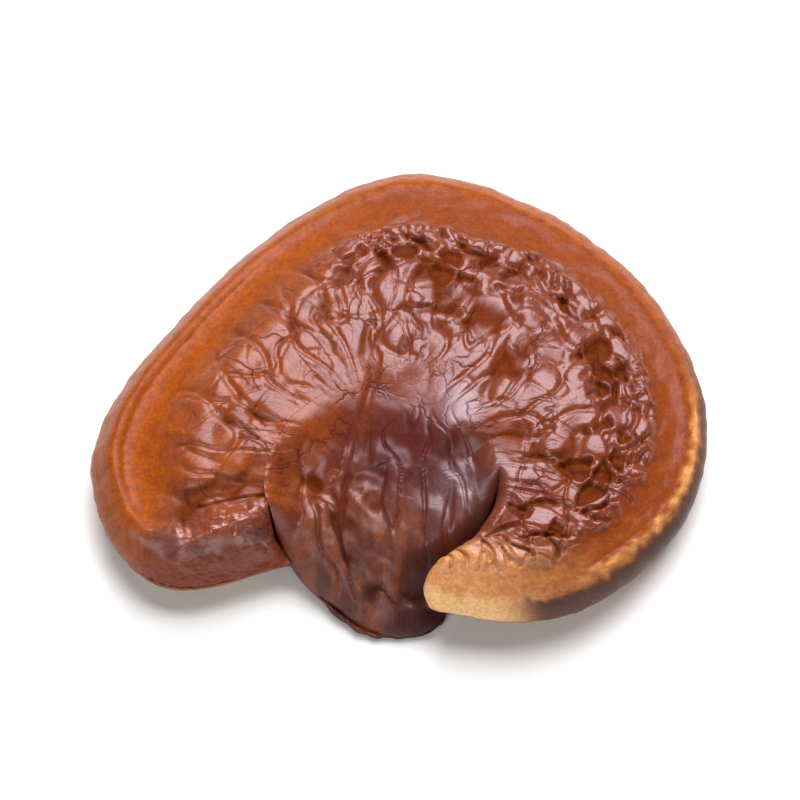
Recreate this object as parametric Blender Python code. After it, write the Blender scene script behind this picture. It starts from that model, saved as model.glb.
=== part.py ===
"""A reishi mushroom lying on its underside: a kidney-shaped cap that grew round a short side stem.

Lengths are in millimetres until the objects are made. +X is to the right, +Y runs from the stem to
the far rim, and +Z is up from the surface that the mushroom lies on. The origin is the middle of
the face where the stem was cut from its wood.
"""

import math

import bmesh
import bpy
import numpy as np
from mathutils import Vector, noise

MM = 0.001

# Outlines in plan, as angle in degrees and radius round the growth centre, where cap meets stem.
# The cap's run from the right lobe's tip, past the right side and the far rim, to the left lobe's
# end. The stem's own outline starts and ends where its right side leaves the cap.
GROWTH_CENTRE = (-2.8, 16.3)
OUTER_EDGE = (
    (-74.5, 18.4), (-74.2, 19.2), (-73.4, 20), (-71.8, 20.6), (-68.5, 21.2), (-64.4, 22.1), (-55, 25.1),
    (-46, 28.4), (-36, 31.7), (-28, 34), (-20, 36.4), (-13, 38.7), (-6, 40.7), (2, 42.5), (10, 43.9),
    (18, 44.8), (27, 45.3), (36, 45.8), (45, 46.2), (56, 46.5), (66, 46.8), (76, 47.3), (85, 47.3),
    (93, 46), (101, 43.7), (112, 41.1), (124, 38.9), (135, 37.7), (146, 37.5), (157, 38.5), (167, 39.5),
    (176, 40), (185, 39.3), (194, 37.9), (201, 36.1), (206, 34), (210, 31.1), (213.5, 26.9),
    (216, 23.5), (218.4, 20.7), (220.5, 18.9), (222, 18), (222.5, 17.8),
)
INNER_EDGE = (
    (-74.5, 18.1), (-74.1, 17.4), (-72.8, 16.6), (-70.5, 15.9), (-67, 15.4), (-58, 15.1), (-45, 15.2),
    (-28, 15.1), (-12, 15.1), (0, 14.8), (12, 14.1), (30, 12.8), (60, 11.6), (90, 11.2), (120, 11.8),
    (150, 13.2), (175, 15.2), (195, 16.9), (210, 17.4), (222.5, 17.5),
)
STEM_EDGE = (
    (12, 14.1), (30, 12.8), (60, 11.6), (90, 11.2), (120, 11.8), (150, 13.2), (175, 15.2), (195, 16.9),
    (210, 17.4), (222, 17.5), (231, 17.7), (240, 18.0), (250, 18.8), (260, 20.0), (270, 20.8), (280, 21),
    (286, 20.8), (291, 20), (295, 18.8), (299, 17.2), (303, 15.8), (308, 15.3), (315, 15.2),
    (332, 15.1), (348, 15.1), (360, 14.8), (372, 14.1),
)
# The lobes stand free of the stem outside these angles, where a crevice deepens over some degrees
CREVICE_ENDS, CREVICE_RUN = (-6.0, 203.0), 22.0
PARTING_GAP, CREVICE_GAP = 0.3, 0.6

# Heights of the cap above the surface, by angle: the widest line of its margin, how deep the margin
# is below that line, and how far the top skin is raised or lowered, in all and near the margin
MARGIN_HEIGHT = (
    (-76, 7.6), (-64, 7.0), (-45, 5.8), (-20, 5.2), (10, 4.8), (35, 4.4), (58, 4.2), (90, 4.6),
    (128, 4.2), (160, 4.6), (185, 5.0), (205, 5.0), (226, 5.0),
)
MARGIN_BELOW = ((-76, 2.0), (-66, 2.5), (-45, 3.6), (-20, 4.0), (40, 4.0), (205, 4.0), (226, 3.6))
TOP_SHIFT = (
    (-76, 0.4), (-62, 0.2), (-35, 0.0), (0, 0.0), (60, 0.1), (100, 0.3), (130, 0.8), (160, 0.9),
    (180, 0.5), (190, 0.0), (203, -0.5), (211, -1.1), (217, -2.2), (222, -3.0),
)
# Top skin from the growth centre (0) to the margin (1), before the margin is rounded off
TOP_PROFILE = (
    (0.0, 11.3), (0.06, 11.4), (0.18, 12.4), (0.3, 13.6), (0.4, 14.0), (0.52, 13.9), (0.68, 12.8),
    (0.79, 11.4), (0.9, 9.3), (1.0, 7.8),
)
LOBE_RISE = (
    (-76, 1.0), (-60, 2.0), (-45, 2.7), (-30, 2.1), (-10, 0.8), (12, 0.0), (25, -0.2), (50, -0.4),
    (140, -0.4), (170, -0.2), (184, 0.0), (190, 0.3), (197, 1.5), (208, 1.8), (217, 0.8), (226, 0.2),
)
HOLLOW_DEPTH, HOLLOW_RUN = 3.6, 15.0
# How far in the top skin is rounded at the margin, by angle
TOP_ROUNDING = (
    (-76, 3.0), (-55, 2.8), (-20, 2.8), (10, 3.4), (40, 4.4), (150, 4.4), (190, 4.8), (205, 6.4),
    (215, 7.5), (222, 6.0),
)
BOTTOM_ROUNDING, INNER_ROUNDING = 3.8, 2.6

# Heights of the stem, by distance from the cut towards the far rim: its crest, its underside and
# the widest line of its sides. The crest line bends to the left, and the top arches down from it.
CREST_HEIGHT = (
    (-6, 1.6), (-4, 3.2), (-1, 5.0), (3, 7.3), (7, 9.0), (11, 10.2), (15, 11.2), (19, 12.2), (23, 13.2),
)
CREST_LINE = ((-6, 0.0), (0, -2.0), (5, -4.0), (11, -4.0), (17, -2.8), (23, -2.8))
CREST_ARCH_LEFT, CREST_ARCH_RIGHT = 0.006, 0.004
STEM_UNDERSIDE = ((-6, -1.6), (2.5, -1.4), (5, 0.4), (8, 2.4), (12, 3.9), (17, 4.4), (30, 4.4))
STEM_WIDEST = ((-6, 0.6), (0, 1.6), (4, 3.6), (9, 6.4), (15, 8.2), (30, 8.2))
# How far in the stem's sides are rounded, by angle
STEM_ROUNDING = (
    (-100, 4.0), (-70, 5.0), (-40, 5.0), (-12, 2.8), (20, 2.8), (170, 2.8), (195, 2.8), (215, 4.0),
    (260, 4.0),
)
NECK_BLEND = 5.0
# The stem's right flank falls away steeply beyond this line through plan points, given from the foot up
FLANK_LINE = (
    (6.0, -6.0), (1.6, -3.6), (-1.4, -1.6), (-2.2, 0.8), (-1.3, 3.4), (0.6, 5.3), (3.6, 6.7), (6.6, 7.6),
    (9.4, 8.6), (11.4, 10.8), (16.5, 13.0),
)
FLANK_RUN, FLANK_FOOT = 4.0, 0.8

# Relief of the lacquered top: the bead along the margin, the trough inside it, and growth rings
BEAD_HEIGHT = (
    (-76, 0.1), (0, 0.2), (60, 0.25), (95, 0.4), (130, 0.75), (155, 0.9), (200, 0.9), (212, 0.4),
    (222, 0.2),
)
BEAD_INSET, BEAD_WIDTH = 2.9, 1.3
TROUGH_DEPTH = ((-76, 0.0), (0, 0.1), (90, 0.3), (130, 0.8), (180, 1.2), (203, 0.6), (222, 0.1))
TROUGH_INSET, TROUGH_WIDTH = 7.4, 2.8
RINGS = ((0.44, 0.20), (0.58, 0.30), (0.72, 0.30))
RING_WIDTH = 0.035
FOLD_DEPTH, FOLDS_ROUND, FOLD_LENGTH = 0.40, 3.6, 10.0
FOLDS_FROM, FOLD_VALLEY = (9.0, 20.0), 0.18
LUMP_HEIGHT, LUMP_SIZE = 0.18, 6.0
STEM_GROOVE_DEPTH, STEM_GROOVE_WIDTH, STEM_GROOVE_LENGTH = 0.35, 4.2, 12.0
# Creases pressed into the top skin: depth, width, and the points in plan that each runs through
CREASE_WANDER = 1.1
CREASES = (
    (0.7, 0.8, ((-3.6, 47.0), (-4.4, 41.0), (-5.4, 35.2), (-4.8, 27.4), (-5.9, 21.7))),
    (0.5, 1.1, ((-5.9, 21.7), (-5.9, 16.1), (-8.9, 11.1), (-9.2, 6.7), (-6.4, 2.6), (-1.3, -2.2))),
    (0.6, 0.9, ((-9.0, 10.8), (-11.5, 12.8), (-13.0, 15.0))),
    (1.2, 1.7, ((13.6, 19.8), (12.1, 18.8), (9.0, 17.8), (6.8, 17.4))),
    (0.7, 1.1, ((-20.5, 22.5), (-18.2, 19.9), (-14.6, 14.2), (-12.0, 14.0), (-9.4, 14.8))),
    (0.5, 1.0, ((-8.0, 8.5), (-5.9, 5.8), (-1.8, 3.6), (0.3, 0.2))),
    (0.6, 0.7, ((14.5, 4.7), (17.0, 3.6), (19.6, 2.0))),
    (0.6, 0.7, ((14.1, 16.4), (17.0, 16.4), (20.3, 15.8))),
    (0.5, 0.7, ((14.1, 10.7), (17.0, 10.2), (19.7, 9.1))),
    (0.5, 0.7, ((6.0, 37.5), (1.9, 37.8), (-1.2, 36.3), (-3.3, 33.0))),
    (0.8, 1.1, ((10.2, 25.5), (12.6, 29.0), (15.2, 32.2), (19.3, 35.4))),
    (0.8, 1.1, ((-29.0, 10.6), (-25.0, 12.0), (-21.5, 13.2), (-18.4, 14.6))),
)
# Rises and hollows of the top: plan point, height, and half width
MOUNDS = (
    (9.2, 9.2, 2.0, 4.8), (5.7, 20.4, 1.6, 4.4), (-13.5, 20.5, 0.6, 2.6),
    (-11.0, 16.8, 0.5, 2.2), (2.6, 44.8, -0.8, 2.6), (4.8, 40.0, -0.9, 2.4), (10.6, 36.8, -1.0, 2.8),
    (15.2, 44.2, -0.5, 1.8), (19.8, 31.5, -0.7, 2.4), (15.6, 38.6, 0.7, 2.6), (-23.0, 6.5, 0.7, 4.0),
    (19.0, 24.0, 0.5, 5.0), (-24.0, 27.0, 0.4, 5.0), (13.6, -0.4, 0.5, 3.6), (29.0, 17.0, 0.5, 4.5),
)

# How finely the faceted solids are cut
CAP_STEPS, STEM_STEPS = 92, 56
TOP_STEPS, BOTTOM_STEPS, ROUND_STEPS = 17, 8, 4
END_CROWDING = 0.8

CRUST = ("reishi_crust", (0.33, 0.095, 0.025, 1.0), 0.22)
BARK = ("reishi_stem_bark", (0.105, 0.035, 0.02, 1.0), 0.42)


def smooth_table(table, at):
    """Reads a table of (position, value) pairs at many positions, along a smooth curve."""
    xs = np.array([row[0] for row in table], float)
    ys = np.array([row[1] for row in table], float)
    slopes = np.gradient(ys, xs)
    at = np.clip(at, xs[0], xs[-1])
    k = np.clip(np.searchsorted(xs, at, side="right") - 1, 0, len(xs) - 2)
    step = xs[k + 1] - xs[k]
    t = (at - xs[k]) / step
    return (
        (1 + 2 * t) * (1 - t) ** 2 * ys[k]
        + t * (1 - t) ** 2 * step * slopes[k]
        + t * t * (3 - 2 * t) * ys[k + 1]
        + t * t * (t - 1) * step * slopes[k + 1]
    )


def smoothstep(low, high, value):
    t = np.clip((value - low) / (high - low), 0.0, 1.0)
    return t * t * (3 - 2 * t)


def quarter_round(distance, radius):
    """0 at the edge, rising as a quarter circle to 1 at one radius from it."""
    inward = 1.0 - np.clip(distance / radius, 0.0, 1.0)
    return np.sqrt(np.clip(1.0 - inward * inward, 0.0, 1.0))


def at_angle(angle, radius):
    """Plan points at these angles, in degrees, and radii round the growth centre."""
    turn = np.radians(angle)
    x, y = GROWTH_CENTRE
    return np.stack([x + radius * np.cos(turn), y + radius * np.sin(turn)], -1)


def polar(points):
    """Angle from -100 to 260 degrees, and radius, of plan points round the growth centre."""
    away = points - np.array(GROWTH_CENTRE)
    angle = (np.degrees(np.arctan2(away[..., 1], away[..., 0])) + 100.0) % 360.0 - 100.0
    return angle, np.hypot(away[..., 0], away[..., 1])


def edge_line(table, start, end):
    """Points along an outline between two angles."""
    angles = np.linspace(start, end, 160)
    return at_angle(angles, smooth_table(table, angles))


def distance_to_line(points, line):
    """Least distance from each plan point to a line through the given points."""
    starts, runs = line[:-1], np.diff(line, axis=0)
    away = points[:, None, :] - starts[None]
    along = np.clip((away * runs).sum(-1) / np.maximum((runs * runs).sum(-1), 1e-12), 0.0, 1.0)
    return np.hypot(*np.moveaxis(away - along[..., None] * runs, -1, 0)).min(1)


def right_of_line(points, line):
    """Distance from a line that runs up in plan, on its right, and 0 on its left."""
    ys = np.array([point[1] for point in line])
    xs = np.array([point[0] for point in line])
    right = points[:, 0] > np.interp(points[:, 1], ys, xs)
    return distance_to_line(points, np.array(line)) * right


def rough(points, size, seed):
    """Smooth noise from about -1 to 1 over plan points, with lumps of this size."""
    return np.array([noise.noise(Vector((x / size, y / size, seed))) for x, y in points]) * 1.6


def top_relief(points, margin):
    """What the lacquered top has on its plain form: bead, trough, rings, folds and lumps."""
    angle, radius = polar(points)
    share = radius / smooth_table(OUTER_EDGE, angle)
    relief = smooth_table(BEAD_HEIGHT, angle) * np.exp(-(((margin - BEAD_INSET) / BEAD_WIDTH) ** 2))
    relief -= smooth_table(TROUGH_DEPTH, angle) * np.exp(-(((margin - TROUGH_INSET) / TROUGH_WIDTH) ** 2))
    inside = smoothstep(5.0, 10.0, margin)
    uneven = rough(points, 9.0, 3.0)
    for where, depth in RINGS:
        off = (share - where - 0.03 * uneven) / RING_WIDTH
        relief -= inside * depth * (0.7 + 0.5 * uneven) * np.exp(-(off ** 2))
    fan = np.stack([np.radians(angle) * FOLDS_ROUND, radius / FOLD_LENGTH], -1)
    folds = np.minimum(np.abs(rough(fan, 1.0, 7.0)) / FOLD_VALLEY, 1.0) - 0.8
    relief += inside * FOLD_DEPTH * smoothstep(*FOLDS_FROM, radius) * folds
    right_side = smoothstep(100.0, 50.0, angle)
    relief += inside * (0.4 + 0.6 * right_side) * LUMP_HEIGHT * rough(points, LUMP_SIZE, 11.0)
    return relief


def creases_and_mounds(points):
    relief = np.zeros(len(points))
    wandering = points + CREASE_WANDER * np.stack([rough(points, 3.6, 71.0), rough(points, 3.6, 72.0)], -1)
    uneven = 0.75 + 0.5 * rough(points, 5.0, 73.0)
    for depth, width, line in CREASES:
        relief -= uneven * depth * np.exp(-((distance_to_line(wandering, np.array(line)) / width) ** 2))
    for x, y, height, width in MOUNDS:
        relief += height * np.exp(-(((points - np.array((x, y))) ** 2).sum(1)) / width ** 2)
    return relief


def crevice_depth(angle):
    """How deep the crevice by the stem is, from 0 where cap and stem meet to 1 between free sides."""
    right = smoothstep(CREVICE_ENDS[0], CREVICE_ENDS[0] - CREVICE_RUN, angle)
    return np.maximum(right, smoothstep(CREVICE_ENDS[1], CREVICE_ENDS[1] + CREVICE_RUN * 0.5, angle))


def centre_top(points):
    """The top skin of the cap carried in over the growth centre."""
    angle, radius = polar(points)
    share = radius / smooth_table(OUTER_EDGE, angle)
    top = smooth_table(TOP_PROFILE, share) + smooth_table(TOP_SHIFT, angle) * smoothstep(0.2, 0.7, share)
    return top + smooth_table(LOBE_RISE, angle) * smoothstep(0.5, 0.8, share)


def cap_heights(points, below):
    """Height of the cap's top skin, or of its pore side where below is set, over plan points."""
    angle, _ = polar(points)
    outer = distance_to_line(points, edge_line(OUTER_EDGE, OUTER_EDGE[0][0], OUTER_EDGE[-1][0]))
    lobes = (
        edge_line(INNER_EDGE, INNER_EDGE[0][0], CREVICE_ENDS[0]),
        edge_line(INNER_EDGE, CREVICE_ENDS[1], INNER_EDGE[-1][0]),
    )
    inner = np.minimum(*[distance_to_line(points, line) for line in lobes])
    margin = np.minimum(outer, inner)
    widest = smooth_table(MARGIN_HEIGHT, angle)
    if below:
        hollow = HOLLOW_DEPTH * smoothstep(2.0, HOLLOW_RUN, margin)
        hollow += 0.25 * rough(points, 8.0, 23.0) * smoothstep(4.0, 9.0, margin)
        low = widest - smooth_table(MARGIN_BELOW, angle) + hollow
        return widest - (widest - low) * quarter_round(margin, BOTTOM_ROUNDING)
    top = centre_top(points) + top_relief(points, outer) + creases_and_mounds(points)
    rise = quarter_round(outer, smooth_table(TOP_ROUNDING, angle))
    rise *= 1.0 - crevice_depth(angle) * (1.0 - quarter_round(inner, INNER_ROUNDING))
    return widest + (top - widest) * rise


def stem_heights(points, below):
    """Height of the stem's top, or of its underside where below is set, over plan points."""
    x, y = points[:, 0], points[:, 1]
    angle, _ = polar(points)
    side = distance_to_line(points, edge_line(STEM_EDGE, CREVICE_ENDS[1], CREVICE_ENDS[0] + 360))
    widest = smooth_table(STEM_WIDEST, y)
    rounding = smooth_table(STEM_ROUNDING, angle)
    if below:
        low = smooth_table(STEM_UNDERSIDE, y)
        return widest - (widest - low) * quarter_round(side, rounding * 0.6)
    lean = x - smooth_table(CREST_LINE, y)
    neck_lines = (
        edge_line(STEM_EDGE, STEM_EDGE[0][0], CREVICE_ENDS[1]),
        edge_line(STEM_EDGE, CREVICE_ENDS[0] + 360, STEM_EDGE[-1][0]),
    )
    neck = np.minimum(*[distance_to_line(points, line) for line in neck_lines])
    free = smoothstep(26.0, 14.0, y) * smoothstep(0.0, NECK_BLEND, neck)
    grooves = np.stack([x / STEM_GROOVE_WIDTH, y / STEM_GROOVE_LENGTH], -1)
    arch = np.where(lean < 0, CREST_ARCH_LEFT, CREST_ARCH_RIGHT)
    own = smooth_table(CREST_HEIGHT, y) - arch * lean ** 2
    own += STEM_GROOVE_DEPTH * np.abs(rough(grooves, 1.0, 31.0))
    beyond = smoothstep(0.0, FLANK_RUN, right_of_line(points, FLANK_LINE))
    own += (np.minimum(own, widest + FLANK_FOOT) - own) * beyond
    top = centre_top(points) + (own - centre_top(points)) * free + creases_and_mounds(points)
    top += (1.0 - free) * top_relief(points, np.full(len(points), 12.0))
    open_side = np.where(angle < -76.0, 1.0, crevice_depth(angle))
    open_side = np.maximum(open_side, smoothstep(-60.0, -76.0, angle))
    return widest + (top - widest) * (1.0 - open_side * (1.0 - quarter_round(side, rounding)))


def inward_steps(width, rounding, steps):
    """Distances in from the outer edge: a rounded edge, even steps, and a rounded inner edge."""
    outer, inner = min(rounding, 0.35 * width), min(2.4, 0.2 * width)
    turn = np.linspace(0.0, math.pi / 2, ROUND_STEPS + 1)
    start = outer * (1 - np.cos(turn))
    middle = np.linspace(outer, width - inner, steps + 1)[1:]
    end = width - inner * np.array([0.35, 0.02])
    return np.concatenate([start, middle, end])


def skin_rings(body, plans, heights_of, below):
    """Adds the corners of one skin, ring by ring, from the plan points of each ring."""
    flat = np.concatenate(plans)
    places = np.column_stack([flat, heights_of(flat, below)])
    corners = iter([body.verts.new(Vector(place) * MM) for place in places])
    return [[next(corners) for _ in plan] for plan in plans]


def cap_mesh():
    """The cap as one closed skin, lofted through upright sections that fan out round the stem."""
    start, end = OUTER_EDGE[0][0] + 0.1, OUTER_EDGE[-1][0] - 0.1
    even = np.linspace(0.0, 1.0, CAP_STEPS)
    angles = start + (end - start) * (even - END_CROWDING * np.sin(2 * math.pi * even) / (2 * math.pi))
    tops, lows = [], []
    reach, near = smooth_table(OUTER_EDGE, angles), smooth_table(INNER_EDGE, angles)
    for angle, far, width, rounding in zip(angles, reach, reach - near, smooth_table(TOP_ROUNDING, angles)):
        tops.append(at_angle(angle, far - inward_steps(width, rounding, TOP_STEPS)))
        lows.append(at_angle(angle, far - inward_steps(width, BOTTOM_ROUNDING, BOTTOM_STEPS)[:0:-1]))
    body = bmesh.new()
    tops = skin_rings(body, tops, cap_heights, below=False)
    lows = skin_rings(body, lows, cap_heights, below=True)
    rings = [top + low for top, low in zip(tops, lows)]
    for first, second in zip(rings, rings[1:]):
        for k in range(len(first)):
            body.faces.new((first[k - 1], first[k], second[k], second[k - 1]))
    body.faces.new(rings[0][::-1])
    body.faces.new(rings[-1])
    return finished(body, "cap")


def stem_mesh():
    """The stem as one closed skin of rings round the growth centre, cut off level at the foot."""
    angles = STEM_EDGE[0][0] + np.arange(STEM_STEPS) * 360.0 / STEM_STEPS
    by_left_lobe = smoothstep(198, 206, angles) * smoothstep(232, 224, angles)
    by_right_lobe = smoothstep(298, 306, angles) * smoothstep(352, 340, angles)
    gap = PARTING_GAP + (CREVICE_GAP - PARTING_GAP) * (by_left_lobe + by_right_lobe)
    reach = smooth_table(STEM_EDGE, angles) - gap
    top_shares = (0.12, 0.27, 0.42, 0.56, 0.68, 0.78, 0.86, 0.92, 0.965, 0.99, 1.0)
    low_shares = (0.99, 0.95, 0.88, 0.76, 0.58, 0.36, 0.16)
    body = bmesh.new()
    rings = skin_rings(body, [at_angle(angles, reach * share) for share in top_shares], stem_heights, False)
    rings += skin_rings(body, [at_angle(angles, reach * share) for share in low_shares], stem_heights, True)
    for first, second in zip(rings, rings[1:]):
        for k in range(STEM_STEPS):
            body.faces.new((first[k - 1], first[k], second[k], second[k - 1]))
    for ring, below in ((rings[0], False), (rings[-1], True)):
        pole = skin_rings(body, [np.array([GROWTH_CENTRE])], stem_heights, below)[0][0]
        for k in range(STEM_STEPS):
            body.faces.new((ring[k - 1], ring[k], pole))
    bmesh.ops.recalc_face_normals(body, faces=body.faces)

    # The foot is cut off level where it stood on its wood
    everything = [*body.verts, *body.edges, *body.faces]
    bmesh.ops.bisect_plane(
        body, geom=everything, dist=1e-7, plane_co=(0, 0, 0), plane_no=(0, 0, 1), clear_inner=True
    )
    bmesh.ops.holes_fill(body, edges=[edge for edge in body.edges if edge.is_boundary], sides=0)
    return finished(body, "stem")


def finished(body, name):
    """Makes an object of a closed skin, with its faces pointing out."""
    bmesh.ops.recalc_face_normals(body, faces=body.faces)
    mesh = bpy.data.meshes.new(name)
    body.to_mesh(mesh)
    body.free()
    mesh.shade_smooth()
    made = bpy.data.objects.new(name, mesh)
    bpy.context.scene.collection.objects.link(made)
    return made


def finish_of(name, colour, roughness):
    """A plain lacquered or bark-like material."""
    made = bpy.data.materials.new(name)
    made.use_nodes = True
    shader = made.node_tree.nodes["Principled BSDF"]
    shader.inputs["Base Color"].default_value = colour
    shader.inputs["Roughness"].default_value = roughness
    shader.inputs["Metallic"].default_value = 0.0
    return made


def main():
    for old in list(bpy.data.objects):
        bpy.data.objects.remove(old)
    cap = cap_mesh()
    cap.data.materials.append(finish_of(*CRUST))
    stem = stem_mesh()
    stem.data.materials.append(finish_of(*BARK))


main()
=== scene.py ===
"""Dresses the reishi mushroom: its lacquered, wrinkled cap, its bark-covered stem and a plain stage.

Lengths in the tables and in the shape functions are millimetres. Objects are made in metres.
"""

import math

import bmesh
import bpy
import numpy as np
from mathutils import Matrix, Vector, noise


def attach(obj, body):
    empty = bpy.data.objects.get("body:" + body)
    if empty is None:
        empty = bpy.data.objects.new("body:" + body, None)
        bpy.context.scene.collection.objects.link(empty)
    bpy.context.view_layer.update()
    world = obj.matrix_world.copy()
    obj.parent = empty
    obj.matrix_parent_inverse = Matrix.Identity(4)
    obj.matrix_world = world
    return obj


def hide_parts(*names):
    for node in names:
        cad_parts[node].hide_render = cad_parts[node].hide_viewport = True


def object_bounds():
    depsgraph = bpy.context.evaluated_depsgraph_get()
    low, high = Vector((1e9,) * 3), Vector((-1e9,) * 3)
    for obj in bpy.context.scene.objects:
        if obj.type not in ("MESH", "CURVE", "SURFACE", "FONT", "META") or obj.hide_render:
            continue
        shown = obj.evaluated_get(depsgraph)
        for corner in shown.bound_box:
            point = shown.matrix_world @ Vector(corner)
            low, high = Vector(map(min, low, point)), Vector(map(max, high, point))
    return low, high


bl_info = {
    "name": "Reishi Mushroom",
    "version": (1, 0, 0),
    "blender": (4, 5, 0),
    "location": "3D View > Sidebar > Mushroom",
    "description": "Builds a dried reishi mushroom with a lacquered cap and a bark-covered stem",
    "category": "Add Mesh",
}

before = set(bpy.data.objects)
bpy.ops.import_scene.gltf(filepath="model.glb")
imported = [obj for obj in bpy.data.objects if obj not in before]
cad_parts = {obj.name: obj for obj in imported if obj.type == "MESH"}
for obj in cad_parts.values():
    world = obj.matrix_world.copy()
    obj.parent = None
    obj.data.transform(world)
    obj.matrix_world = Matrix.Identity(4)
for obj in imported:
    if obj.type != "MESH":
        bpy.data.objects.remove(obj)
CAD_LOW, CAD_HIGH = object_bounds()
MM = 0.001

# Outlines in plan: angle in degrees and radius round the growth centre, where cap meets stem
GROWTH_CENTRE = (-2.8, 16.3)
OUTER_EDGE = (
    (-74.5, 18.4), (-74.2, 19.2), (-73.4, 20), (-71.8, 20.6), (-68.5, 21.2), (-64.4, 22.1), (-55, 25.1),
    (-46, 28.4), (-36, 31.7), (-28, 34), (-20, 36.4), (-13, 38.7), (-6, 40.7), (2, 42.5), (10, 43.9),
    (18, 44.8), (27, 45.3), (36, 45.8), (45, 46.2), (56, 46.5), (66, 46.8), (76, 47.3), (85, 47.3),
    (93, 46), (101, 43.7), (112, 41.1), (124, 38.9), (135, 37.7), (146, 37.5), (157, 38.5), (167, 39.5),
    (176, 40), (185, 39.3), (194, 37.9), (201, 36.1), (206, 34), (210, 31.1), (213.5, 26.9),
    (216, 23.5), (218.4, 20.7), (220.5, 18.9), (222, 18), (222.5, 17.8),
)
INNER_EDGE = (
    (-74.5, 18.1), (-74.1, 17.4), (-72.8, 16.6), (-70.5, 15.9), (-67, 15.4), (-58, 15.1), (-45, 15.2),
    (-28, 15.1), (-12, 15.1), (0, 14.8), (12, 14.1), (30, 12.8), (60, 11.6), (90, 11.2), (120, 11.8),
    (150, 13.2), (175, 15.2), (195, 16.9), (210, 17.4), (222.5, 17.5),
)
STEM_EDGE = (
    (12, 14.1), (30, 12.8), (60, 11.6), (90, 11.2), (120, 11.8), (150, 13.2), (175, 15.2), (195, 16.9),
    (210, 17.4), (222, 17.5), (231, 17.7), (240, 18.0), (250, 18.8), (260, 20.0), (270, 20.8), (280, 21),
    (286, 20.8), (291, 20), (295, 18.8), (299, 17.2), (303, 15.8), (308, 15.3), (315, 15.2),
    (332, 15.1), (348, 15.1), (360, 14.8), (372, 14.1),
)
CREVICE_ENDS, CREVICE_RUN, CREVICE_GAP = (-6.0, 203.0), 22.0, 0.3

# Heights of the cap above the surface, by angle
MARGIN_HEIGHT = (
    (-76, 7.6), (-64, 7.0), (-45, 5.8), (-20, 5.2), (10, 4.8), (35, 4.4), (58, 4.2), (90, 4.6),
    (128, 4.2), (160, 4.6), (185, 5.0), (205, 5.0), (226, 5.0),
)
MARGIN_BELOW = ((-76, 2.0), (-66, 2.5), (-45, 3.6), (-20, 4.0), (40, 4.0), (205, 4.0), (226, 3.6))
TOP_SHIFT = (
    (-76, 0.4), (-62, 0.2), (-35, 0.0), (0, 0.0), (60, 0.1), (100, 0.3), (130, 0.8), (160, 0.9),
    (180, 0.5), (190, 0.0), (203, -0.5), (211, -1.1), (217, -2.2), (222, -3.0),
)
TOP_PROFILE = (
    (0.0, 11.3), (0.06, 11.4), (0.18, 12.4), (0.3, 13.6), (0.4, 14.0), (0.52, 13.9), (0.68, 12.8),
    (0.79, 11.4), (0.9, 9.3), (1.0, 7.8),
)
LOBE_RISE = (
    (-76, 1.0), (-60, 2.0), (-45, 2.7), (-30, 2.1), (-10, 0.8), (12, 0.0), (25, -0.2), (50, -0.4),
    (140, -0.4), (170, -0.2), (184, 0.0), (190, 0.3), (197, 1.5), (208, 1.8), (217, 0.8), (226, 0.2),
)
HOLLOW_DEPTH, HOLLOW_RUN = 3.6, 15.0
TOP_ROUNDING = (
    (-76, 3.0), (-55, 2.8), (-20, 2.8), (10, 3.4), (40, 4.4), (150, 4.4), (190, 4.8), (205, 6.4), (215, 7.5),
    (222, 6.0),
)
BOTTOM_ROUNDING, INNER_ROUNDING = 3.8, 2.6

# Heights of the stem, by distance from the cut towards the far rim
CREST_HEIGHT = (
    (-6, 1.6), (-4, 3.2), (-1, 5.0), (3, 7.3), (7, 9.0), (11, 10.2), (15, 11.2), (19, 12.2), (23, 13.2),
)
CREST_LINE = ((-6, 0.0), (0, -2.0), (5, -4.0), (11, -4.0), (17, -2.8), (23, -2.8))
CREST_ARCH_LEFT, CREST_ARCH_RIGHT = 0.006, 0.004
STEM_UNDERSIDE = ((-6, -1.6), (2.5, -1.4), (5, 0.4), (8, 2.4), (12, 3.9), (17, 4.4), (30, 4.4))
STEM_WIDEST = ((-6, 0.6), (0, 1.6), (4, 3.6), (9, 6.4), (15, 8.2), (30, 8.2))
STEM_ROUNDING = (
    (-100, 4.0), (-70, 5.0), (-40, 5.0), (-12, 2.8), (20, 2.8), (170, 2.8), (195, 2.8), (215, 4.0),
    (260, 4.0),
)
NECK_BLEND = 5.0
# The stem's right flank falls away steeply beyond this line through plan points, given from the foot up
FLANK_LINE = (
    (6.0, -6.0), (1.6, -3.6), (-1.4, -1.6), (-2.2, 0.8), (-1.3, 3.4), (0.6, 5.3), (3.6, 6.7), (6.6, 7.6),
    (9.4, 8.6), (11.4, 10.8), (16.5, 13.0),
)
FLANK_RUN, FLANK_FOOT = 4.0, 0.8

# Relief of the lacquered top, in the order in which it is added
BEAD_HEIGHT = (
    (-76, 0.1), (0, 0.2), (60, 0.25), (95, 0.4), (130, 0.75), (155, 0.9), (200, 0.9), (212, 0.4), (222, 0.2),
)
BEAD_INSET, BEAD_WIDTH = 2.9, 1.3
TROUGH_DEPTH = ((-76, 0.0), (0, 0.1), (90, 0.3), (130, 0.8), (180, 1.2), (203, 0.6), (222, 0.1))
TROUGH_INSET, TROUGH_WIDTH = 7.4, 2.8
RINGS = ((0.44, 0.20), (0.58, 0.30), (0.72, 0.30))
RING_WIDTH = 0.035
FOLD_DEPTH, FOLDS_ROUND, FOLD_LENGTH = 0.40, 3.6, 10.0
FOLDS_FROM, FOLD_VALLEY = (9.0, 20.0), 0.18
LUMP_HEIGHT, LUMP_SIZE = 0.18, 6.0
STEM_GROOVE_DEPTH, STEM_GROOVE_WIDTH, STEM_GROOVE_LENGTH = 0.35, 4.2, 12.0
CREASE_WANDER = 1.1
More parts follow.
